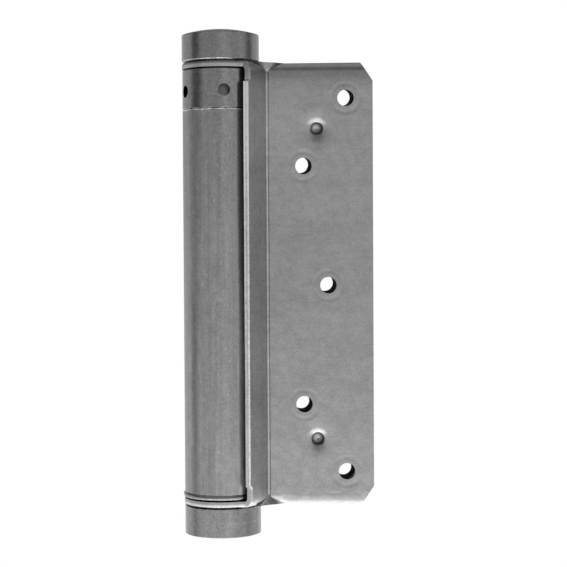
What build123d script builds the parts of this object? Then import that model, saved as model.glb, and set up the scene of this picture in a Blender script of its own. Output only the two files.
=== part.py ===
"""Single-acting spring hinge, 150 mm, in bare steel, shown closed.

A frame leaf has its barrel rolled from the same sheet. A swing leaf wraps round the front of
that barrel and turns about it on two ears. A torsion spring inside the barrel is held by a plug
at its foot and by a tension collar at its head. A spindle with a cap at each end ties it together.

Millimetres. The origin lies on the pivot axis at the underside of the bottom cap. Z runs up the
pivot, X points to the free edges of the leaves, and the swing leaf faces -Y.
"""
from build123d import *
import os
from math import atan, cos, degrees, pi, radians, sin, tan

# Leaves and barrel
sheet = 2.0                  # both leaves are pressed from this
leaf_height = 150.0          # over the two ears of the swing leaf
leaf_reach = 51.8            # pivot axis to the swing leaf's free edge
frame_leaf_short = 0.3       # the frame leaf stops this much before it
leaf_gap = 3.5               # between the closed leaves
barrel_d = 26.0
bend_radius = 1.0            # inside radius of every sharp bend
crease_tool_r = 0.6          # radius of the tool that sets the front leaf's crease
crease_bite = 0.25           # how far it presses in past the corner
corner_cut_x = 4.2
corner_cut_z = 6.4

# Swing leaf
web_angle = 29.0             # the web's normal, below the X axis
web_clearance = 0.77         # between the web and the barrel
web_lap = 6.85               # the web's edge past its nearest point to the axis
relief_depth = 0.9           # notch in that edge beside each ear
relief_height = 5.1
relief_radius = 0.8
ear_proud = 0.1              # an ear's rim stands this much outside the barrel
ear_blend = 2.4              # radius where an ear's rim runs into the web's edge
ear_roll = 0.6               # sheared rim rolled over on the side of the cap
lip_depth = 3.2              # how far the top and bottom edges are turned in
flare_radius = 9.0           # in plan, where the turned edges run round the crease
flare_height = 3.5           # over which that closes to the crease
flare_plate_run = 3.0        # how far it reaches along the plate

# Frame leaf
strip_angle = 30.0           # where the sheet leaves the barrel, above the X axis
seam_gap = 0.3
notch_clearance = 1.2        # leaf to collar, beside the barrel
notch_radius = 0.5

# Screw holes: X of each row, half spacings along Z, and the pattern's height
screw_d = 5.6
screw_head_d = 8.6
screw_land = 0.6             # straight part left under the countersink
outer_row_x = 42.65
middle_hole_x = 36.6
inner_row_x = 28.3
outer_half_pitch = 63.3
inner_half_pitch = 40.45
swing_pattern_drop = 0.43    # below the leaf's middle
frame_pattern_rise = 0.27
frame_pattern_shift = 1.5    # the frame leaf's holes lie nearer to the barrel

# Spacer pips, half sheared from the outer faces, inside a shallow funnel
pip_x = 32.8
pip_half_pitch = 52.65
pip_d = 4.0
pip_height = 1.6
pip_roll = 0.7               # radius over which the funnel turns down into the hole
pip_hollow = 0.35            # how far the punch's blunt point hollows the floor of the hole
funnel_d = 15.0
funnel_depth = 0.45

# Pieces stacked on the pivot
running_gap = 0.45           # beside each ear
bottom_cap_height = 9.7
top_cap_height = 9.2
top_cap_proud = 0.15         # outside the barrel
crown_height = 2.0
cap_edge = 0.25
top_cap_bevel = 0.4          # on its lower rim
bead_height = 1.8
bead_proud = 0.5
collar_height = 13.25
collar_gap = 0.15
collar_hub_depth = 11.0
hub_clearance = 0.1
plug_depth = 14.0
tommy_hole_d = 4.1
tommy_hole_depth = 5.0
tommy_holes = 5
tommy_first_angle = -79.7
tommy_hole_height = 5.95     # above the collar's lower face
edge_break = 0.2

# Spindle, bushes and washers
spindle_d = 8.0
spindle_seat = 6.0           # how deep the spindle is pressed into each cap
spindle_clearance = 0.05
bush_wall = 1.0
flange_d = 16.0
flange_thickness = 0.8
flange_clearance = 0.1

# Torsion spring
wire_d = 3.2
coil_clearance = 1.1         # between the coil and the barrel's bore
coil_pitch = 7.0
tang_length = 5.0
tang_bend = 2.6
tang_clearance = 0.1

# Heights and radii that follow
barrel_r = barrel_d / 2
bore_r = barrel_r - sheet
spindle_r = spindle_d / 2
z_ear = bottom_cap_height + running_gap
z_top = z_ear + leaf_height
z_mid = z_ear + leaf_height / 2
z_bead = z_ear + sheet + running_gap
z_tube = z_bead + bead_height
z_collar_top = z_top - sheet - running_gap
z_collar = z_collar_top - collar_height
z_tube_top = z_collar - collar_gap
z_top_cap = z_top + running_gap
z_rim = z_top_cap + top_cap_height
outer_face = sheet + leaf_gap / 2
web_face = barrel_r + web_clearance + sheet
bush_r = spindle_r + spindle_clearance + bush_wall
ear_r = barrel_r + ear_proud
top_cap_r = barrel_r + top_cap_proud
coil_r = bore_r - coil_clearance - wire_d / 2
far = 3 * leaf_reach         # beyond everything, for cutting shapes


def disc(radius, z, height):
    """A round bar on the pivot axis, from z upwards."""
    return Pos(0, 0, z) * Cylinder(radius, height, align=(Align.CENTER, Align.CENTER, Align.MIN))


def turned(*points):
    """A turned piece from its half section, given as (radius, z) points."""
    return revolve(Plane.XZ * make_face(Polyline(*points, close=True)), Axis.Z)


def prism(plan, z, height):
    return extrude(Pos(0, 0, z) * plan, height)


def at_web(out, along):
    """Plan point at a distance out from the axis along the web's normal, and along the web."""
    a = radians(web_angle)
    return (out * cos(a) - along * sin(a), -out * sin(a) - along * cos(a))


def screw_places(middle_z, shift):
    """X and Z of the five staggered holes of one leaf."""
    outer = [(outer_row_x - shift, middle_z + side * outer_half_pitch) for side in (1, -1)]
    inner = [(inner_row_x - shift, middle_z + side * inner_half_pitch) for side in (1, -1)]
    return outer + inner + [(middle_hole_x - shift, middle_z)]


def leaf_axis(x, z, side):
    """Frame on a leaf's outer face, Z pointing to the other leaf. side is -1 on the swing leaf."""
    return Plane(origin=(x, side * outer_face, z), x_dir=(1, 0, 0), z_dir=(0, -side, 0))


def screw_cutter():
    """Straight hole with a countersink that opens on the leaf's inner face."""
    straight, head = screw_d / 2, screw_head_d / 2
    return turned((0, -1), (straight, -1), (straight, screw_land), (head, sheet), (head, sheet + 1),
                  (0, sheet + 1))


def funnel(hole_r, roll, bottom, hollow):
    """Round funnel into the plane z = 0, steepest where it rolls over into a blind hole."""
    rim = (funnel_d / 2, 0)
    lip = (hole_r, funnel_depth)
    slope = TangentArc(rim, lip, tangent=(-1, 0))
    side = Polyline(lip, (hole_r, bottom), (0, bottom + hollow), (0, 0), rim)
    face = make_face(slope + side)
    turn = face.vertices().sort_by_distance(Vertex(*lip))[0]
    return revolve(Plane.XZ * fillet(turn, roll), Axis.Z)


def with_screws_and_pips(leaf, places, side):
    """Press the dishes and pips and drill the countersunk holes of one leaf."""
    pressed = funnel(pip_d / 2, pip_roll, pip_height, pip_hollow)
    swelling = Pos(0, 0, sheet) * funnel(pip_d / 2, edge_break, pip_height - edge_break, edge_break)
    stub = disc(pip_d / 2, sheet / 2, sheet / 2)
    for z in (z_mid + pip_half_pitch, z_mid - pip_half_pitch):
        here = leaf_axis(pip_x, z, side).location
        leaf = leaf + here * swelling + here * stub - here * pressed
    for x, z in places:
        leaf = leaf - leaf_axis(x, z, side).location * screw_cutter()
    return leaf


def corner_cuts(reach, side):
    """The two clipped corners at a leaf's free edge."""
    cuts = []
    for z, up in ((z_ear, 1), (z_top, -1)):
        corner = Polyline((reach, z), (reach - corner_cut_x, z), (reach, z + up * corner_cut_z), close=True)
        face = Plane.XZ * make_face(corner)
        cuts.append(extrude(face, 2 * barrel_d, both=True))
    return cuts


def crease_at(inset):
    """Plan point where the swing leaf's plate and web meet, inset behind their outer faces."""
    a = radians(web_angle)
    plate_y = inset - outer_face
    return ((web_face - inset + plate_y * sin(a)) / cos(a), plate_y)


def crease_tool():
    """Round bar that presses the crease between the bends of the leaf's top and bottom."""
    bend = bend_radius + sheet
    bar = disc(crease_tool_r, z_ear + bend, leaf_height - 2 * bend)
    return Pos(*crease_at(0)) * Rot(0, 0, -(90 + web_angle) / 2) * Pos(crease_tool_r - crease_bite, 0) * bar


def crease_flare():
    """Metal that the lower turned edge pushes out of the crease, bounded by a slanting cone."""
    a = radians(web_angle)
    half = radians(90 + web_angle) / 2
    z_low, z_high = z_ear, z_ear + flare_height
    bend = bend_radius + sheet
    x, y = crease_at(0)
    apex = Vertex(x, y, z_high)
    reach = flare_radius * tan(pi / 2 - half)
    web_end = (x - reach * sin(a), y - reach * cos(a))
    outline = Polyline((x + flare_plate_run, y), (x + flare_plate_run + bend, y + bend), crease_at(bend),
                       (web_end[0] - bend * cos(a), web_end[1] + bend * sin(a)), web_end, close=True)
    out = flare_radius / sin(half)
    middle = (x + out * cos(half), y - out * sin(half))
    core = loft([Pos(0, 0, z_low) * make_face(outline), apex])
    cone = loft([Pos(*middle, z_low) * Circle(flare_radius), apex])
    return core - cone


def bent_block(inset):
    """What lies behind the swing leaf's faces, set in by inset and rounded along its bends."""
    a = radians(web_angle)
    crease = crease_at(inset)
    tip = (crease[0] - far * sin(a), crease[1] - far * cos(a))
    outline = Polyline(tip, crease, (far, crease[1]), (far, far), (-far, far), (-far, tip[1]), close=True)
    plan = make_face(outline)
    bend = plan.vertices().sort_by_distance(Vertex(*crease))[0]
    plan = fillet(bend, bend_radius + inset)
    block = prism(plan, z_ear + inset, leaf_height - 2 * inset)
    front = [e for e in block.edges() if e.center().X > 0 and e.center().Y < 0]
    level = [e for e in front if abs(e.start_point().Z - e.end_point().Z) < 0.01]
    return fillet(level, bend_radius + sheet - inset)


def swing_leaf():
    flare = crease_flare()
    outside = bent_block(0) + flare + mirror(flare, Plane.XY.offset(z_mid))
    shell = outside - bent_block(sheet) - crease_tool()
    ear_lap = web_lap - relief_depth
    lip_y = lip_depth - outer_face
    span = make_face(Polyline(at_web(2 * web_face, ear_lap), at_web(ear_r / 2, ear_lap),
                              (ear_r / 2, lip_y), (leaf_reach, lip_y), (leaf_reach, -far), close=True))
    plan = Circle(ear_r) + span
    corners = [v for v in plan.vertices() if abs(Vector(v.X, v.Y).length - ear_r) < 0.01]
    corners.sort(key=lambda v: v.Y)
    plan = fillet(corners[0], ear_blend)
    lip_corner = [v for v in plan.vertices() if abs(v.Y - lip_y) < 0.01 and v.X < 2 * ear_r]
    plan = fillet(lip_corner, bend_radius)
    strip = make_face(Polyline(at_web(barrel_r, web_lap), at_web(2 * web_face, web_lap),
                               at_web(2 * web_face, 0), at_web(barrel_r, 0), close=True))
    edge_bottom = z_ear + sheet + relief_height
    edge_height = leaf_height - 2 * (sheet + relief_height)
    leaf = shell & (prism(plan, z_ear - 1, leaf_height + 2) + prism(strip, edge_bottom, edge_height))
    for cut in corner_cuts(leaf_reach, -1):
        leaf = leaf - cut
    across = [e for e in leaf.edges() if abs(e.start_point().Z - e.end_point().Z) < 0.01
              and abs(e.length - sheet) < 0.05]
    notch = [e for e in across if min(abs(e.center().Z - edge_bottom),
                                      abs(e.center().Z - edge_bottom - edge_height)) < 0.01]
    deep = [e for e in notch if Vector(e.center().X, e.center().Y).dot(Vector(*at_web(0, 1)))
            < web_lap - relief_depth / 2]
    leaf = fillet(deep, relief_radius)
    rims = [e for e in leaf.edges().filter_by(GeomType.CIRCLE) if abs(e.radius - ear_r) < 0.01
            and min(abs(e.center().Z - z_ear), abs(e.center().Z - z_top)) < 0.01]
    leaf = fillet(rims, ear_roll)
    for z in (z_ear, z_top - sheet):
        leaf = leaf - disc(bush_r, z - 1, sheet + 2)
    places = screw_places(z_mid - swing_pattern_drop, 0)
    return with_screws_and_pips(leaf, places, -1)


def frame_leaf():
    """Plate, short slanted strip and rolled barrel of one sheet."""
    a = radians(strip_angle)
    reach = leaf_reach - frame_leaf_short
    inner_y = outer_face - sheet
    back_crease = ((barrel_r - outer_face * sin(a)) / cos(a), outer_face)
    front_crease = ((bore_r - inner_y * sin(a)) / cos(a), inner_y)
    band = Polyline((barrel_r * cos(a), barrel_r * sin(a)), back_crease, (reach, outer_face),
                    (reach, inner_y), front_crease, (bore_r * cos(a), bore_r * sin(a)), close=True)
    band = make_face(band)
    band = fillet(band.vertices().sort_by_distance(Vertex(*back_crease))[0], bend_radius)
    band = fillet(band.vertices().sort_by_distance(Vertex(*front_crease))[0], bend_radius + sheet)
    seam_y = inner_y - seam_gap
    opening = Polyline((seam_y / tan(a), seam_y), (far, seam_y), (far, far * tan(a)), close=True)
    ring = Circle(barrel_r) - Circle(bore_r) - make_face(opening)
    rolled = prism(ring + band, z_tube, z_tube_top - z_tube)
    plate_x = barrel_r + notch_clearance
    plate = Pos(plate_x, inner_y, z_ear) * Box(reach - plate_x, sheet, leaf_height,
                                               align=(Align.MIN, Align.MIN, Align.MIN))
    leaf = rolled + plate
    inside = [e for e in leaf.edges() if abs(e.center().X - plate_x) < 0.01 and abs(e.length - sheet) < 0.01
              and min(abs(e.center().Z - z_tube), abs(e.center().Z - z_tube_top)) < 0.01]
    leaf = fillet(inside, notch_radius)
    for cut in corner_cuts(reach, 1):
        leaf = leaf - cut
    places = screw_places(z_mid + frame_pattern_rise, frame_pattern_shift)
    return with_screws_and_pips(leaf, places, 1)


def spindle():
    bottom = bottom_cap_height - spindle_seat
    rod = disc(spindle_r, bottom, z_top_cap + spindle_seat - bottom)
    ends = rod.edges().filter_by(GeomType.CIRCLE)
    return chamfer(ends, edge_break)


def bottom_cap():
    seat = bottom_cap_height - flange_thickness
    cap = turned((0, 0), (barrel_r, 0), (barrel_r, bottom_cap_height), (flange_d / 2 + flange_clearance, bottom_cap_height),
                 (flange_d / 2 + flange_clearance, seat), (spindle_r, seat),
                 (spindle_r, bottom_cap_height - spindle_seat), (0, bottom_cap_height - spindle_seat))
    rim = [e for e in cap.edges().filter_by(GeomType.CIRCLE) if abs(e.radius - barrel_r) < 0.01]
    return fillet(rim, cap_edge)


def top_cap():
    r = top_cap_r
    seat = z_top_cap + flange_thickness
    inside = flange_d / 2 + flange_clearance
    crown = ThreePointArc((r, z_rim), (r / 2, z_rim + crown_height * 3 / 4), (0, z_rim + crown_height))
    walls = Polyline((0, z_rim + crown_height), (0, z_top_cap + spindle_seat),
                     (spindle_r, z_top_cap + spindle_seat), (spindle_r, seat), (inside, seat),
                     (inside, z_top_cap), (r, z_top_cap), (r, z_rim))
    cap = revolve(Plane.XZ * make_face(crown + walls), Axis.Z)
    rim = [e for e in cap.edges().filter_by(GeomType.CIRCLE) if abs(e.radius - r) < 0.01]
    cap = fillet(ShapeList(rim).sort_by(Axis.Z)[-1], cap_edge)
    foot = cap.edges().filter_by(GeomType.CIRCLE).group_by(Axis.Z)[0]
    return chamfer(foot.sort_by(SortBy.RADIUS)[-1], top_cap_bevel)


def thrust_washer(z):
    ring = disc(flange_d / 2, z, flange_thickness + running_gap - flange_clearance)
    return ring - disc(spindle_r + spindle_clearance, z - 1, far)


def ear_bush(z, flange_up):
    """Flanged bush through one ear. Its flange lies on the barrel side of the ear."""
    flange_z = z + sheet if flange_up else z - flange_thickness
    body = disc(bush_r, z, sheet) + disc(flange_d / 2, flange_z, flange_thickness)
    return body - disc(spindle_r + spindle_clearance, z - sheet, 3 * sheet)


def flange_recess():
    """Depth of the pocket that takes a bush's flange below a face that stands off by the gap."""
    return flange_thickness + flange_clearance - running_gap


def tension_collar():
    ring = disc(barrel_r, z_collar, collar_height)
    ring = chamfer(ring.edges().filter_by(GeomType.CIRCLE), edge_break)
    hub = disc(bore_r - hub_clearance, z_collar - collar_hub_depth, collar_hub_depth + 1)
    collar = ring + chamfer(hub.edges().sort_by(Axis.Z)[0], 2 * edge_break)
    collar = collar - disc(spindle_r + spindle_clearance, z_collar - far, 2 * far)
    collar = collar - disc(flange_d / 2 + flange_clearance, z_collar_top - flange_recess(), far)
    for k in range(tommy_holes):
        turn = Rot(0, 0, tommy_first_angle + 360 / tommy_holes * k)
        start = barrel_r - tommy_hole_depth
        hole = Plane(origin=(start, 0, z_collar + tommy_hole_height), z_dir=(1, 0, 0)).location * \
            Cylinder(tommy_hole_d / 2, barrel_r, align=(Align.CENTER, Align.CENTER, Align.MIN))
        collar = collar - turn * hole
    return collar - Rot(0, 0, 360 * coil_turns()) * tang_hole(z_collar - collar_hub_depth, 1)


def lower_plug():
    bead_r = barrel_r + bead_proud
    bead = disc(bead_r, z_bead, bead_height)
    bead = fillet(bead.edges().filter_by(GeomType.CIRCLE), bead_height * 0.48)
    plug = bead + disc(bore_r, z_bead + bead_height / 2, bead_height / 2 + plug_depth)
    top = [e for e in plug.edges().filter_by(GeomType.CIRCLE) if abs(e.center().Z - z_tube - plug_depth) < 0.01]
    plug = chamfer(top, 2 * edge_break)
    plug = plug - disc(spindle_r, z_bead - 1, far)
    plug = plug - disc(flange_d / 2 + flange_clearance, z_bead - 1, 1 + flange_recess())
    return plug - tang_hole(z_tube + plug_depth, -1)


def coil_room():
    """Height of the coil's centre line, between the two bends that lead to its tangs."""
    return z_collar - collar_hub_depth - z_tube - plug_depth - 2 * (tang_bend + tang_clearance)


def coil_turns():
    """Turns that fill the room at about the wanted pitch, to the nearest eighth."""
    return round(coil_room() / coil_pitch * 8) / 8


def coil_slope():
    return atan(coil_room() / coil_turns() / (2 * pi * coil_r))


def tang_offset():
    """How far the bend carries a tang past the end of the coil."""
    return tang_bend * (1 - sin(coil_slope()))


def tang_hole(face_z, up):
    """Round hole for the wire's end, from a face at face_z upwards or downwards."""
    deep = tang_length + 2 * tang_clearance
    return Pos(coil_r, up * tang_offset(), face_z) * Cylinder(wire_d / 2 + tang_clearance, 2 * deep)


def torsion_spring():
    """One wire: a tang down into the plug, the coil, and a tang up into the collar's hub."""
    start_z = z_tube + plug_depth + tang_bend + tang_clearance
    coil = Helix(coil_room() / coil_turns(), coil_room(), coil_r, center=(0, 0, start_z))
    quarter = 90 - degrees(coil_slope())
    low_plane = Plane(origin=coil @ 0, x_dir=-(coil % 0), z_dir=(1, 0, 0))
    low_bend = low_plane * JernArc((0, 0), (1, 0), tang_bend, quarter)
    low_tang = Line(low_bend @ 1, low_bend @ 1 - (0, 0, tang_length))
    high_axis = (coil @ 1 - (0, 0, (coil @ 1).Z)).normalized()
    high_plane = Plane(origin=coil @ 1, x_dir=coil % 1, z_dir=high_axis)
    high_bend = high_plane * JernArc((0, 0), (1, 0), tang_bend, quarter)
    high_tang = Line(high_bend @ 1, high_bend @ 1 + (0, 0, tang_length))
    path = Wire([low_tang.edge(), low_bend.edge(), coil.edge(), high_bend.edge(), high_tang.edge()])
    section = Plane(origin=low_tang @ 1, z_dir=(0, 0, 1)) * Circle(wire_d / 2)
    return sweep(section, path=path)


pieces = {
    "frame_leaf": frame_leaf,
    "swing_leaf": swing_leaf,
    "tension_collar": tension_collar,
    "lower_plug": lower_plug,
    "torsion_spring": torsion_spring,
    "spindle": spindle,
    "top_cap": top_cap,
    "bottom_cap": bottom_cap,
    "upper_ear_bush": lambda: ear_bush(z_top - sheet, False),
    "lower_ear_bush": lambda: ear_bush(z_ear, True),
    "upper_thrust_washer": lambda: thrust_washer(z_top + flange_clearance),
    "lower_thrust_washer": lambda: thrust_washer(bottom_cap_height - flange_thickness),
}

os.makedirs("parts", exist_ok=True)
for name, make in pieces.items():
    export_step(make(), f"parts/{name}.step")
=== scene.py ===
"""Looks of a single-acting spring hinge in bare steel, in a plain pale studio."""
import math

import bpy
from mathutils import Matrix, Vector

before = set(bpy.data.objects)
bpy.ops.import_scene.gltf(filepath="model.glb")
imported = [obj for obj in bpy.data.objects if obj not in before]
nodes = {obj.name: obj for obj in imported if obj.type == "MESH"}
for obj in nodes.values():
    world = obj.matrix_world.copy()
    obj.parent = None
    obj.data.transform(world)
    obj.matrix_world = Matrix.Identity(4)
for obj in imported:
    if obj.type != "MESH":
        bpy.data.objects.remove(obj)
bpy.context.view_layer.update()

# The studio: a white floor below the hinge, a pale surround that is dim above it, bright again
# right overhead and has a narrow dark flag on each side, and a soft light under the hinge.
# Together they give bare steel its bright lower edges and its dark upright streaks.


class Value:
    """The output of a shader node, which can be used in sums and products."""

    def __init__(self, paint, socket):
        self.paint = paint
        self.socket = socket

    def math(self, operation, a, b=0.0):
        return self.paint.node("ShaderNodeMath", {"operation": operation}, {0: a, 1: b})

    def __add__(self, other):
        return self.math("ADD", self, other)

    __radd__ = __add__

    def __sub__(self, other):
        return self.math("SUBTRACT", self, other)

    def __rsub__(self, other):
        return self.math("SUBTRACT", other, self)

    def __mul__(self, other):
        return self.math("MULTIPLY", self, other)

    __rmul__ = __mul__

    def __truediv__(self, other):
        return self.math("DIVIDE", self, other)

    def __pow__(self, other):
        return self.math("POWER", self, other)

    def __abs__(self):
        return self.math("ABSOLUTE", self)

    def most(self, other):
        return self.math("MAXIMUM", self, other)

    def above(self, low, high):
        """0 below low and 1 above high, smooth between."""
        settings = {"interpolation_type": "SMOOTHSTEP", "clamp": True}
        inputs = {0: self, 1: low, 2: high, 3: 0.0, 4: 1.0}
        return self.paint.node("ShaderNodeMapRange", settings, inputs)

    def below(self, low, high):
        """1 below low and 0 above high, smooth between."""
        return 1.0 - self.above(low, high)

    def near(self, centre, width):
        """1 at centre, falling smoothly to 0 at width on both sides."""
        return (abs(self - centre) / width).below(0.0, 1.0)

    def between(self, low, high, soft):
        """1 from low to high and 0 elsewhere, with both ends softened."""
        return self.above(low - soft, low + soft) * self.below(high - soft, high + soft)


class Paint:
    """A node tree that is written as expressions."""

    def __init__(self, tree):
        self.tree = tree
        tree.nodes.clear()

    def node(self, kind, settings=None, inputs=None, out=0):
        """Add a node with its settings and its inputs, and give one of its outputs."""
        made = self.tree.nodes.new(kind)
        for name, value in (settings or {}).items():
            setattr(made, name, value)
        for name, value in (inputs or {}).items():
            if isinstance(value, Value):
                self.tree.links.new(value.socket, made.inputs[name])
            else:
                made.inputs[name].default_value = value
        return Value(self, made.outputs[out] if made.outputs else None)

    def axes(self, vector):
        """X, Y and Z of a vector."""
        parts = self.node("ShaderNodeSeparateXYZ", {}, {0: vector})
        return [Value(self, parts.socket.node.outputs[k]) for k in range(3)]

    def rays(self, *kinds):
        """1 for rays of the named kinds, and 0 for the others."""
        path = self.node("ShaderNodeLightPath")
        seen = [Value(self, path.socket.node.outputs[kind]) for kind in kinds]
        share = seen[0]
        for other in seen[1:]:
            share = share.most(other)
        return share


# Levels of the surround, and where in it they begin and end, from -1 to 1 along X, Y and Z.
front_light = 0.62
right_glow, right_glow_across = 0.42, (0.32, 0.36)
side_glow, side_glow_across = 0.30, (0.80, 0.40)
back_light, back_depth = 0.74, (-0.25, 0.25)
left_flag, left_flag_across, left_flag_depth = 0.26, (0.82, 0.94), (-0.14, 0.06)
right_flag, right_flag_across, right_flag_depth = 0.30, (0.88, 0.97), (-0.16, 0.06)
upper_light, upper_height = 0.20, (0.12, 0.42)
top_light, top_height = 0.80, (0.60, 1.0)
white = (1, 1, 1, 1)
floor_colour = (0.9, 0.9, 0.9, 1)
floor_z = -0.10
floor_reach = 6.0
lamp_size = (0.34, 0.50)
lamp_level = 1.1
lamp_place = (0.02, -0.03)
lamp_lift = 0.002

surround = bpy.data.worlds.new("pale_surround")
bpy.context.scene.world = surround
surround.use_nodes = True
sky = Paint(surround.node_tree)
across, depth, height = sky.axes(sky.node("ShaderNodeTexCoord", {}, {}, out="Generated"))
level = front_light * (1.0 + right_glow * across.near(*right_glow_across)
                       + side_glow * across.near(*side_glow_across))
level = level + (back_light - level) * depth.above(*back_depth)
on_left = (0.0 - across).above(*left_flag_across) * depth.below(*left_flag_depth)
on_right = across.above(*right_flag_across) * depth.above(*right_flag_depth)
level = level * (1.0 - (1.0 - left_flag) * on_left) * (1.0 - (1.0 - right_flag) * on_right)
level = level + (upper_light - level) * height.above(*upper_height)
level = level + (top_light - level) * height.above(*top_height)
level = level + (1.0 - level) * sky.rays("Is Camera Ray")
shown = sky.node("ShaderNodeBackground", {}, {"Color": white, "Strength": level})
sky.node("ShaderNodeOutputWorld", {}, {"Surface": shown})

floor_mesh = bpy.data.meshes.new("floor")
corners = [(-floor_reach, -floor_reach, floor_z), (floor_reach, -floor_reach, floor_z),
           (floor_reach, floor_reach, floor_z), (-floor_reach, floor_reach, floor_z)]
floor_mesh.from_pydata(corners, [], [(0, 1, 2, 3)])
floor = bpy.data.objects.new("floor", floor_mesh)
bpy.context.collection.objects.link(floor)
white_floor = bpy.data.materials.new("white_floor")
white_floor.use_nodes = True
card = Paint(white_floor.node_tree)
matt = card.node("ShaderNodeBsdfDiffuse", {}, {"Color": floor_colour})
glow = card.node("ShaderNodeEmission", {}, {"Color": white, "Strength": 1.0})
clear_white = card.rays("Is Camera Ray", "Is Glossy Ray", "Is Transmission Ray")
mixed = card.node("ShaderNodeMixShader", {}, {0: clear_white, 1: matt, 2: glow})
card.node("ShaderNodeOutputMaterial", {}, {"Surface": mixed})
floor_mesh.materials.append(white_floor)

soft_light = bpy.data.lights.new("soft_light", "AREA")
soft_light.shape = "RECTANGLE"
soft_light.size, soft_light.size_y = lamp_size
soft_light.energy = lamp_level * math.pi * lamp_size[0] * lamp_size[1]
lamp = bpy.data.objects.new("soft_light", soft_light)
facing_up = Matrix.Rotation(math.pi, 4, "X")
lamp.matrix_world = Matrix.Translation((*lamp_place, floor_z + lamp_lift)) @ facing_up
lamp.visible_camera = False
bpy.context.collection.objects.link(lamp)

# The camera stands where the photograph was taken from: half a metre away, level with the
# middle of the leaves, and turned a little to the left.

eye = Vector((0.0480, -0.5373, 0.1002))
pan, tilt, roll = (math.radians(a) for a in (-2.86, -1.59, -0.31))
focal_px = 1574.4
frame_px = 567

look = Vector((math.sin(pan) * math.cos(tilt), math.cos(pan) * math.cos(tilt), math.sin(tilt)))
level_right = Vector((math.cos(pan), -math.sin(pan), 0.0))
level_up = level_right.cross(look)
right = math.cos(roll) * level_right + math.sin(roll) * level_up
up = math.cos(roll) * level_up - math.sin(roll) * level_right
camera = bpy.data.objects.new("camera", bpy.data.cameras.new("camera"))
camera.data.lens = focal_px / frame_px * camera.data.sensor_width
camera.matrix_world = Matrix.Translation(eye) @ Matrix((right, up, -look)).transposed().to_4x4()
bpy.context.collection.objects.link(camera)
bpy.context.scene.camera = camera
bpy.context.scene.view_settings.view_transform = "Standard"

# The swing leaf is one pressed steel sheet, the front leaf of the closed hinge. Its faces are
# satin and a little stained, its sheared edges are brighter, and the rings round the screw holes
# show the press tool. Painted light and shade lie on the web, the crease and the bends, and the
# two blind pips have painted shade inside.

per_metre = 1000.0
noise_middle, noise_gain = 0.5, 2.5
speck_edge, speck_soft = (0.15, 0.45), 0.02


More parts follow.
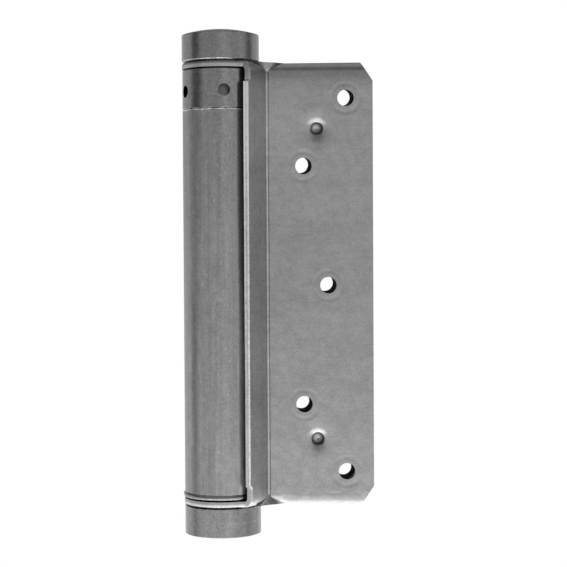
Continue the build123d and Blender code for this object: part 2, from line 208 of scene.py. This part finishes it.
class Steel(Paint):
    """Bare steel. Tone, roughness and relief are built up mark by mark, in millimetres."""

    def __init__(self, name, tone, roughness):
        self.material = bpy.data.materials.new(name)
        self.material.use_nodes = True
        super().__init__(self.material.node_tree)
        self.place = self.node("ShaderNodeTexCoord", {}, {}, out="Object")
        self.x, self.y, self.z = (axis * per_metre for axis in self.axes(self.place))
        self.tone = tone
        self.roughness = roughness
        self.relief = 0.0

    def steps(self, size):
        """The place on the piece, counted in steps of the given sizes along X, Y and Z."""
        scale = [per_metre / s for s in size]
        return self.node("ShaderNodeMapping", {}, {"Vector": self.place, "Scale": scale})

    def noise(self, size, detail=2.0):
        """Random marks of about the given sizes along X, Y and Z, from about -1 to 1."""
        inputs = {"Vector": self.steps(size), "Scale": 1.0, "Detail": detail}
        return (self.node("ShaderNodeTexNoise", {}, inputs) - noise_middle) * noise_gain

    def specks(self, size, share):
        """Scattered spots of about the given sizes: 1 in a spot and 0 elsewhere."""
        inputs = {"Vector": self.steps(size), "Scale": 1.0}
        chance = self.axes(self.node("ShaderNodeTexVoronoi", {}, inputs, out="Color"))[0]
        spot = self.node("ShaderNodeTexVoronoi", {}, inputs, out="Distance")
        return spot.below(*speck_edge) * chance.above(1.0 - share, 1.0 - share + speck_soft)

    def from_axis(self, a, b, at=(0.0, 0.0)):
        """Distance from a line that passes through a point of two of the axes."""
        return ((a - at[0]) ** 2.0 + (b - at[1]) ** 2.0) ** 0.5

    def around(self):
        """Angle round the barrel in degrees, 0 at the front and growing to the right."""
        return self.x.math("ARCTAN2", self.x, 0.0 - self.y) * math.degrees(1.0)

    def shade(self, amount):
        """Darken or lighten by a share of the tone."""
        self.tone = self.tone * (1.0 + amount)

    def pressed(self, screws, under_face):
        """Press rings of screw holes with painted shade on their walls, and pips with painted shade
        in their hollows, a painted highlight at each tip and on the lip above, and painted shade
        below.
        """
        on_face = under_face.below(*face_skin)
        for hole in screws:
            out = self.from_axis(self.x, self.z, hole)
            ring = out.near(press_ring_radius, press_ring_width)
            self.relief = self.relief - press_ring_depth * ring * on_face
            # Painted shade on the walls of the hole.
            self.shade(hole_wall_painted_shade * out.below(*hole_wall_radius) * (1.0 - on_face))
        for x, z in pip_places:
            out = self.from_axis(self.x, self.z, (x, z))
            hollow = under_face.between(*hollow_depth, hollow_soft) * out.below(*hollow_radius)
            # Painted shade in the hollow, with a painted highlight at the tip.
            tip = self.from_axis(self.x, self.z, (x + tip_shift[0], z + tip_shift[1]))
            self.shade((tip_painted_highlight - hollow_painted_shade * tip.above(*tip_radius)) * hollow)
            # Painted highlight on the lip above the pip.
            around = (1.0 - hollow) * under_face.below(*lip_depth)
            over_pip = (self.z - z).above(*lip_height)
            self.shade(lip_painted_highlight * out.near(lip_radius, lip_width) * over_pip * around)
            # Painted shade below the pip.
            below_pip = self.from_axis(self.x, self.z, (x + below_pip_shift[0], z + below_pip_shift[1]))
            self.shade(below_pip_painted_shade * below_pip.below(*below_pip_radius) * around)

    def dress(self, *names):
        """Close the material and put it on CAD nodes."""
        colour = self.node("ShaderNodeCombineColor", {}, {0: self.tone, 1: self.tone, 2: self.tone})
        sockets = {"Base Color": colour, "Metallic": 1.0, "Roughness": self.roughness}
        if isinstance(self.relief, Value):
            bump = {"Strength": 1.0, "Distance": 1.0 / per_metre, "Height": self.relief}
            sockets["Normal"] = self.node("ShaderNodeBump", {}, bump)
        shader = self.node("ShaderNodeBsdfPrincipled", {}, sockets)
        self.node("ShaderNodeOutputMaterial", {}, {"Surface": shader})
        for name in names:
            mesh = nodes[name].data
            mesh.materials.clear()
            mesh.materials.append(self.material)


leaf_tone = 0.345
leaf_roughness = 0.40
sheet = 2.0
leaf_foot_z = 10.15
leaf_height = 150.0
leaf_middle_z = leaf_foot_z + leaf_height / 2
leaf_top_z = leaf_foot_z + leaf_height
leaf_face_y = -3.75
ear_radius = 13.1
web_lean = math.radians(29.0)
crease_place = (15.95, leaf_face_y)
crease_along = -crease_place[0] * math.sin(web_lean) - crease_place[1] * math.cos(web_lean)
web_middle = crease_place[0] * math.cos(web_lean) - crease_place[1] * math.sin(web_lean) - sheet / 2
cut_edge_along = 6.85
cut_edge_inset = 6.0

# Screw holes as X and the height over the leaf's middle, and how far each leaf's are shifted.
screw_rows = [(42.65, 63.3), (42.65, -63.3), (28.3, 40.45), (28.3, -40.45), (36.6, 0.0)]
front_shift_z = -0.43
rear_shift_x, rear_shift_z = -1.5, 0.27
front_screws = [(x, leaf_middle_z + front_shift_z + z) for x, z in screw_rows]
rear_screws = [(x + rear_shift_x, leaf_middle_z + rear_shift_z + z) for x, z in screw_rows]
pip_x, pip_half_pitch = 32.8, 52.65
pip_places = [(pip_x, leaf_middle_z + side * pip_half_pitch) for side in (1, -1)]

# Press rings, and painted shade and highlights at the holes and pips: sizes in millimetres, and
# brightness as a share of the tone.
face_skin = (0.02, 0.10)
press_ring_radius, press_ring_width, press_ring_depth = 4.8, 1.2, 0.05
hole_wall_radius, hole_wall_painted_shade = (4.0, 4.6), -0.35
hollow_depth, hollow_soft, hollow_radius = (0.85, 2.4), 0.1, (2.3, 2.4)
tip_shift, tip_radius, tip_painted_highlight, hollow_painted_shade = (-0.30, 0.10), (0.3, 2.1), 0.15, 1.05
lip_radius, lip_width, lip_painted_highlight = 2.9, 1.2, 1.1
lip_depth, lip_height = (1.5, 1.6), (0.8, 2.6)
below_pip_shift, below_pip_radius, below_pip_painted_shade = (0.2, -2.6), (0.6, 3.2), -0.30

leaf = Steel("leaf_steel", leaf_tone, leaf_roughness)
along_web = 0.0 - leaf.x * math.sin(web_lean) - leaf.y * math.cos(web_lean)
through_web = leaf.x * math.cos(web_lean) - leaf.y * math.sin(web_lean)

# Grain, mottling, rolling marks and stains of the whole sheet.
grain = leaf.noise((0.55, 0.55, 0.55), 3.0)
mottle = leaf.noise((2.6, 2.6, 2.2), 3.0)
rolled = leaf.noise((30.0, 30.0, 0.6), 3.0)
stain = leaf.noise((16.0, 16.0, 11.0), 4.0)
leaf.shade(0.24 * grain + 0.17 * mottle + 0.05 * rolled + 0.12 * stain)
leaf.roughness = leaf.roughness + 0.05 * stain + 0.03 * mottle
leaf.relief = 0.0030 * grain + 0.0010 * rolled

# Painted light lightens the slanted web, with streaks drawn along its length.
streak = leaf.noise((0.8, 0.8, 60.0), 3.0)
on_web = along_web.above(crease_along + 0.3, crease_along + 1.2) * leaf.x.above(7.0, 9.0)
leaf.shade(on_web * (0.34 + 0.20 * streak + 0.10 * grain))

# Painted light makes the plate lighter towards the top, and painted shade darkens the bend along
# its upper edge.
upper_plate_painted_light = leaf.z.above(90.0, 145.0) * leaf.z.below(150.0, 154.5)
top_bend_painted_shade = leaf.z.above(153.0, 156.5)
outer_face = leaf.y.below(leaf_face_y + 1.9, 0.0)
leaf.shade((0.17 * upper_plate_painted_light - 0.24 * top_bend_painted_shade) * outer_face)

# The sheared edge of the web is bright, with a dark, wavering line where the metal broke.
cut_edge = along_web.above(cut_edge_along - 0.12, cut_edge_along - 0.04)
cut_edge = cut_edge * leaf.z.between(leaf_foot_z + cut_edge_inset, leaf_top_z - cut_edge_inset, 0.2)
torn = leaf.noise((0.5, 0.5, 1.6), 3.0)
broken = through_web.near(web_middle + 0.25 * leaf.noise((40.0, 40.0, 6.0)), 0.62)
leaf.shade(cut_edge * (0.80 + 0.25 * torn - (0.75 + 0.35 * torn) * broken))
# Painted light: the cut edge is lighter towards the top.
leaf.shade(0.35 * cut_edge * leaf.z.above(95.0, 150.0))
# Painted shade darkens one side of the cut edge low down.
cut_edge_side_painted_shade = through_web.near(web_middle - 1.0, 0.8)
leaf.shade(-0.55 * cut_edge * cut_edge_side_painted_shade * leaf.z.below(45.0, 95.0))

leaf.pressed(front_screws, leaf.y - leaf_face_y)

# The rims of the two ears are worn bright, most of all in front.
rim = leaf.from_axis(leaf.x, leaf.y).above(ear_radius - 0.10, ear_radius - 0.03)
lower_ear = leaf.z.between(leaf_foot_z - 1.0, leaf_foot_z + 1.1, 0.15)
upper_ear = leaf.z.between(leaf_top_z - 2.2, leaf_top_z - 0.9, 0.15)
in_front = 0.9 - 0.7 * leaf.y.above(-7.0, 0.0)
leaf.shade(rim * leaf.x.below(8.0, 9.0) * (lower_ear + upper_ear) * in_front)

# Painted highlights along the crease, and on the metal that gathers at its foot.
crease = leaf.from_axis(leaf.x, leaf.y, crease_place)
leaf.shade(0.35 * crease.below(0.5, 0.8) * (1.0 + 0.5 * leaf.noise((1.0, 1.0, 2.5))))
foot = leaf.from_axis(crease, leaf.z, (0.0, leaf_foot_z))
low = leaf.z.below(leaf_foot_z + 2.2, leaf_foot_z + 3.6)
leaf.shade(0.45 * foot.near(4.2, 2.4) * (1.0 - on_web) * low)

# The bend along the lower edge is worn in patches; painted light brightens its lowest line and
# painted shade darkens the shoulder above it.
on_bend = leaf.x.above(18.0, 20.0)
bend_wear = leaf.noise((5.0, 5.0, 2.2)).above(0.05, 0.5) * leaf.z.between(12.6, 15.2, 0.9)
leaf.shade(0.28 * bend_wear * on_bend)
lowest_painted_highlight = leaf.z.below(10.8, 11.5)
shoulder_painted_shade = leaf.z.between(11.7, 12.9, 0.4)
leaf.shade((0.31 * lowest_painted_highlight - 0.20 * shoulder_painted_shade) * on_bend)
leaf.dress("swing_leaf")

# The frame leaf is the rear sheet, with the barrel rolled from it. The barrel is scuffed along
# its length and stained, and its upper end is burred bright. Painted shade darkens its
# countersinks, and upright bands of painted shade and light stand in for reflections on it.

barrel_tone = 0.30
barrel_roughness = 0.38
barrel_radius = 13.0
barrel_top_z = 144.30
barrel_foot_z = 14.40
plate_from_x = (20.0, 20.5)
countersink_y, countersink_radius, countersink_painted_shade = (1.77, 3.73), (4.28, 4.33), -0.62

# Upright bands of painted shade and painted light, standing in for reflections: angle from the
# front and half width in degrees, and brightness.
left_painted_shade_band = (-41.0, 12.0)
strip_painted_light_band = (35.0, 9.0)
barrel_painted_bands = ((*left_painted_shade_band, -0.16), (-13.0, 9.0, -0.07), (10.0, 8.0, 0.05))

barrel = Steel("barrel_steel", barrel_tone, barrel_roughness)
grain = barrel.noise((0.55, 0.55, 0.65), 3.0)
drawn = barrel.noise((0.9, 0.9, 38.0), 3.0)
mottle = barrel.noise((2.4, 2.4, 3.4), 3.0)
stain = barrel.noise((6.0, 6.0, 24.0), 4.0)
scratch = barrel.specks((0.45, 0.45, 2.0), 0.05) + barrel.specks((0.6, 0.6, 0.7), 0.02)
barrel.shade(0.28 * grain + 0.20 * drawn + 0.17 * mottle + 0.16 * stain)
barrel.shade(0.50 * scratch)
barrel.roughness = barrel.roughness + 0.06 * stain + 0.05 * drawn
barrel.relief = 0.0040 * grain + 0.003 * drawn

# Fine scratches run round the lower half, in patches.
crossed = barrel.noise((9.0, 9.0, 0.30)).above(0.42, 0.70)
crossed = crossed * barrel.noise((7.0, 7.0, 16.0)).above(0.0, 0.4)
barrel.shade(0.16 * crossed * barrel.z.below(60.0, 120.0))

# Painted reflections round the barrel, with more painted shade low on the left and painted light
# low beside the web.
around = barrel.around() + 3.0 * barrel.noise((5.0, 5.0, 14.0))
for angle, width, amount in barrel_painted_bands:
    barrel.shade(amount * around.near(angle, width))
barrel.shade(-0.28 * around.near(*left_painted_shade_band) * barrel.z.below(50.0, 120.0))
barrel.shade(0.90 * around.near(*strip_painted_light_band) * barrel.z.below(70.0, 130.0))
barrel.shade(-0.45 * barrel.specks((1.3, 1.3, 1.3), 0.012))

# The tube's ends: a burr and a rubbed band at the top, and bright spatter at the foot.
on_tube = barrel.from_axis(barrel.x, barrel.y).below(barrel_radius + 0.05, barrel_radius + 0.25)
burr = barrel.z.above(barrel_top_z - 0.45, barrel_top_z - 0.30)
burr = burr * barrel.noise((2.0, 2.0, 0.6)).above(-0.35, 0.1)
barrel.shade(1.6 * burr * on_tube)
rubbed = barrel.z.above(barrel_top_z - 1.8, barrel_top_z - 1.0)
rubbed = rubbed * barrel.noise((2.6, 2.6, 1.2)).above(0.0, 0.5)
barrel.shade(0.28 * rubbed * on_tube)
spatter = barrel.specks((0.8, 0.8, 0.5), 0.20)
spatter = spatter * barrel.z.below(barrel_foot_z + 0.7, barrel_foot_z + 1.1)
barrel.shade(0.9 * spatter * on_tube)

# Painted shade in the countersinks on the inner face.
for hole in rear_screws:
    out = barrel.from_axis(barrel.x, barrel.z, hole)
    inside = barrel.y.between(*countersink_y, 0.01) * barrel.x.above(*plate_from_x)
    barrel.shade(countersink_painted_shade * out.below(*countersink_radius) * inside)
barrel.pressed([], -leaf_face_y - barrel.y)
barrel.dress("frame_leaf")

# The tension collar, the two caps and the plug with its bead are turned from bar and left dull,
# with a coarse speckle. Their rims carry painted highlights, broken up like wear, and upright
# bands of painted shade and light stand in for reflections.

turned_tone = 0.255
turned_roughness = 0.25
tommy_hole_z = 150.40
tommy_hole_reach = 2.3
collar_foot_z = 144.45
top_cap_foot_z = 160.6
bottom_cap_top_z = 9.7

turned = Steel("turned_steel", turned_tone, turned_roughness)
out = turned.from_axis(turned.x, turned.y)
grain = turned.noise((0.60, 0.60, 0.60), 2.0)
speckle = turned.noise((1.6, 1.6, 2.0), 3.0)
stain = turned.noise((6.0, 6.0, 9.0), 3.0)
lathe = turned.noise((60.0, 60.0, 0.25), 2.0)
turned.shade(0.36 * grain + 0.18 * speckle + 0.08 * stain + 0.03 * lathe)
turned.shade(0.6 * turned.specks((0.5, 0.5, 0.5), 0.02))
turned.roughness = turned.roughness + 0.05 * speckle + 0.04 * stain
turned.relief = 0.0035 * grain + 0.001 * lathe

# Two scratches run across the front of the bottom cap: their height, and reach to each side.
cap_scratches = ((5.05, 14.0), (4.55, 5.0))
for high, reach in cap_scratches:
    scratch = (turned.z + 0.012 * turned.x).near(high, 0.16) * turned.x.near(7.0, reach)
    scratch = scratch * turned.y.below(-3.0, 0.0)
    turned.shade(0.55 * scratch * turned.noise((1.2, 1.2, 0.8)).above(-0.5, 0.3))

# Upright bands of painted shade and painted light, standing in for reflections: the piece, the
# angle from the front, the half width and the brightness.
on_foot = turned.z.below(11.0, 12.0)
on_collar = turned.z.between(143.0, 159.0, 0.5)
on_top = turned.z.above(159.0, 160.0) * out.above(12.5, 12.8)
turned_painted_bands = (
    (on_foot, -41.0, 12.0, -0.36), (on_foot, 28.0, 12.0, -0.12), (on_foot, 46.0, 16.0, -0.26),
    (on_foot, 15.0, 10.0, 0.12), (on_foot, -20.0, 9.0, 0.10), (on_foot, 66.0, 10.0, -0.16),
    (on_collar, -41.0, 10.0, -0.24), (on_collar, -29.0, 10.0, -0.38), (on_collar, 13.0, 8.0, 0.10),
    (on_top, -34.0, 10.0, -0.22), (on_top, 4.0, 11.0, 0.12), (on_top, 27.0, 10.0, -0.16))
around = turned.around() + 2.5 * turned.noise((3.0, 3.0, 5.0))
for where, angle, width, amount in turned_painted_bands:
    turned.shade(amount * around.near(angle, width) * where)

# Painted highlights along the rims of the caps and the collar, broken up like wear, and painted
# shade in the tommy-bar holes, darkest on their walls.
rim_painted_highlights = turned.z.between(top_cap_foot_z + 0.12, top_cap_foot_z + 0.42, 0.05)
rim_painted_highlights = rim_painted_highlights + turned.z.between(bottom_cap_top_z - 0.28, bottom_cap_top_z + 0.1, 0.03)
rim_painted_highlights = rim_painted_highlights + turned.z.between(collar_foot_z - 0.1, collar_foot_z + 0.22, 0.04)
worn = turned.noise((1.6, 1.6, 0.8)).above(-0.35, 0.1)
turned.shade(0.8 * rim_painted_highlights * worn * out.above(12.6, 12.7))
in_hole = turned.z.between(tommy_hole_z - tommy_hole_reach, tommy_hole_z + tommy_hole_reach, 0.02)
hole_wall = out.above(8.05, 8.4)
turned.shade((-0.50 - 0.38 * hole_wall) * in_hole * out.below(12.86, 12.92))
turned.dress("tension_collar", "top_cap", "bottom_cap", "lower_plug")

# Inside the barrel: a ground spindle and washers, an oiled spring wire, and black nylon bushes
# in the two ears.

ground_tone, ground_roughness = 0.50, 0.22
ground = Steel("spindle_steel", ground_tone, ground_roughness)
ground.shade(0.04 * ground.noise((20.0, 20.0, 0.2)))
ground.dress("spindle", "upper_thrust_washer", "lower_thrust_washer")

wire_tone, wire_roughness = 0.20, 0.32
wire = Steel("spring_steel", wire_tone, wire_roughness)
wire.shade(0.15 * wire.noise((1.5, 1.5, 1.5), 3.0))
wire.dress("torsion_spring")

nylon = bpy.data.materials.new("bush_nylon")
nylon.use_nodes = True
moulded = Paint(nylon.node_tree)
place = moulded.node("ShaderNodeTexCoord", {}, {}, out="Object")
flow = moulded.node("ShaderNodeTexNoise", {}, {"Vector": place, "Scale": 900.0, "Detail": 3.0})
black = 0.045 + 0.035 * flow
black = moulded.node("ShaderNodeCombineColor", {}, {0: black, 1: black, 2: black * 1.08})
pores = moulded.node("ShaderNodeBump", {}, {"Strength": 0.4, "Distance": 0.0001, "Height": flow})
plastic = moulded.node("ShaderNodeBsdfPrincipled", {}, {
    "Base Color": black, "Roughness": 0.40 + 0.20 * flow, "Normal": pores})
moulded.node("ShaderNodeOutputMaterial", {}, {"Surface": plastic})
for name in ("upper_ear_bush", "lower_ear_bush"):
    nodes[name].data.materials.clear()
    nodes[name].data.materials.append(nylon)
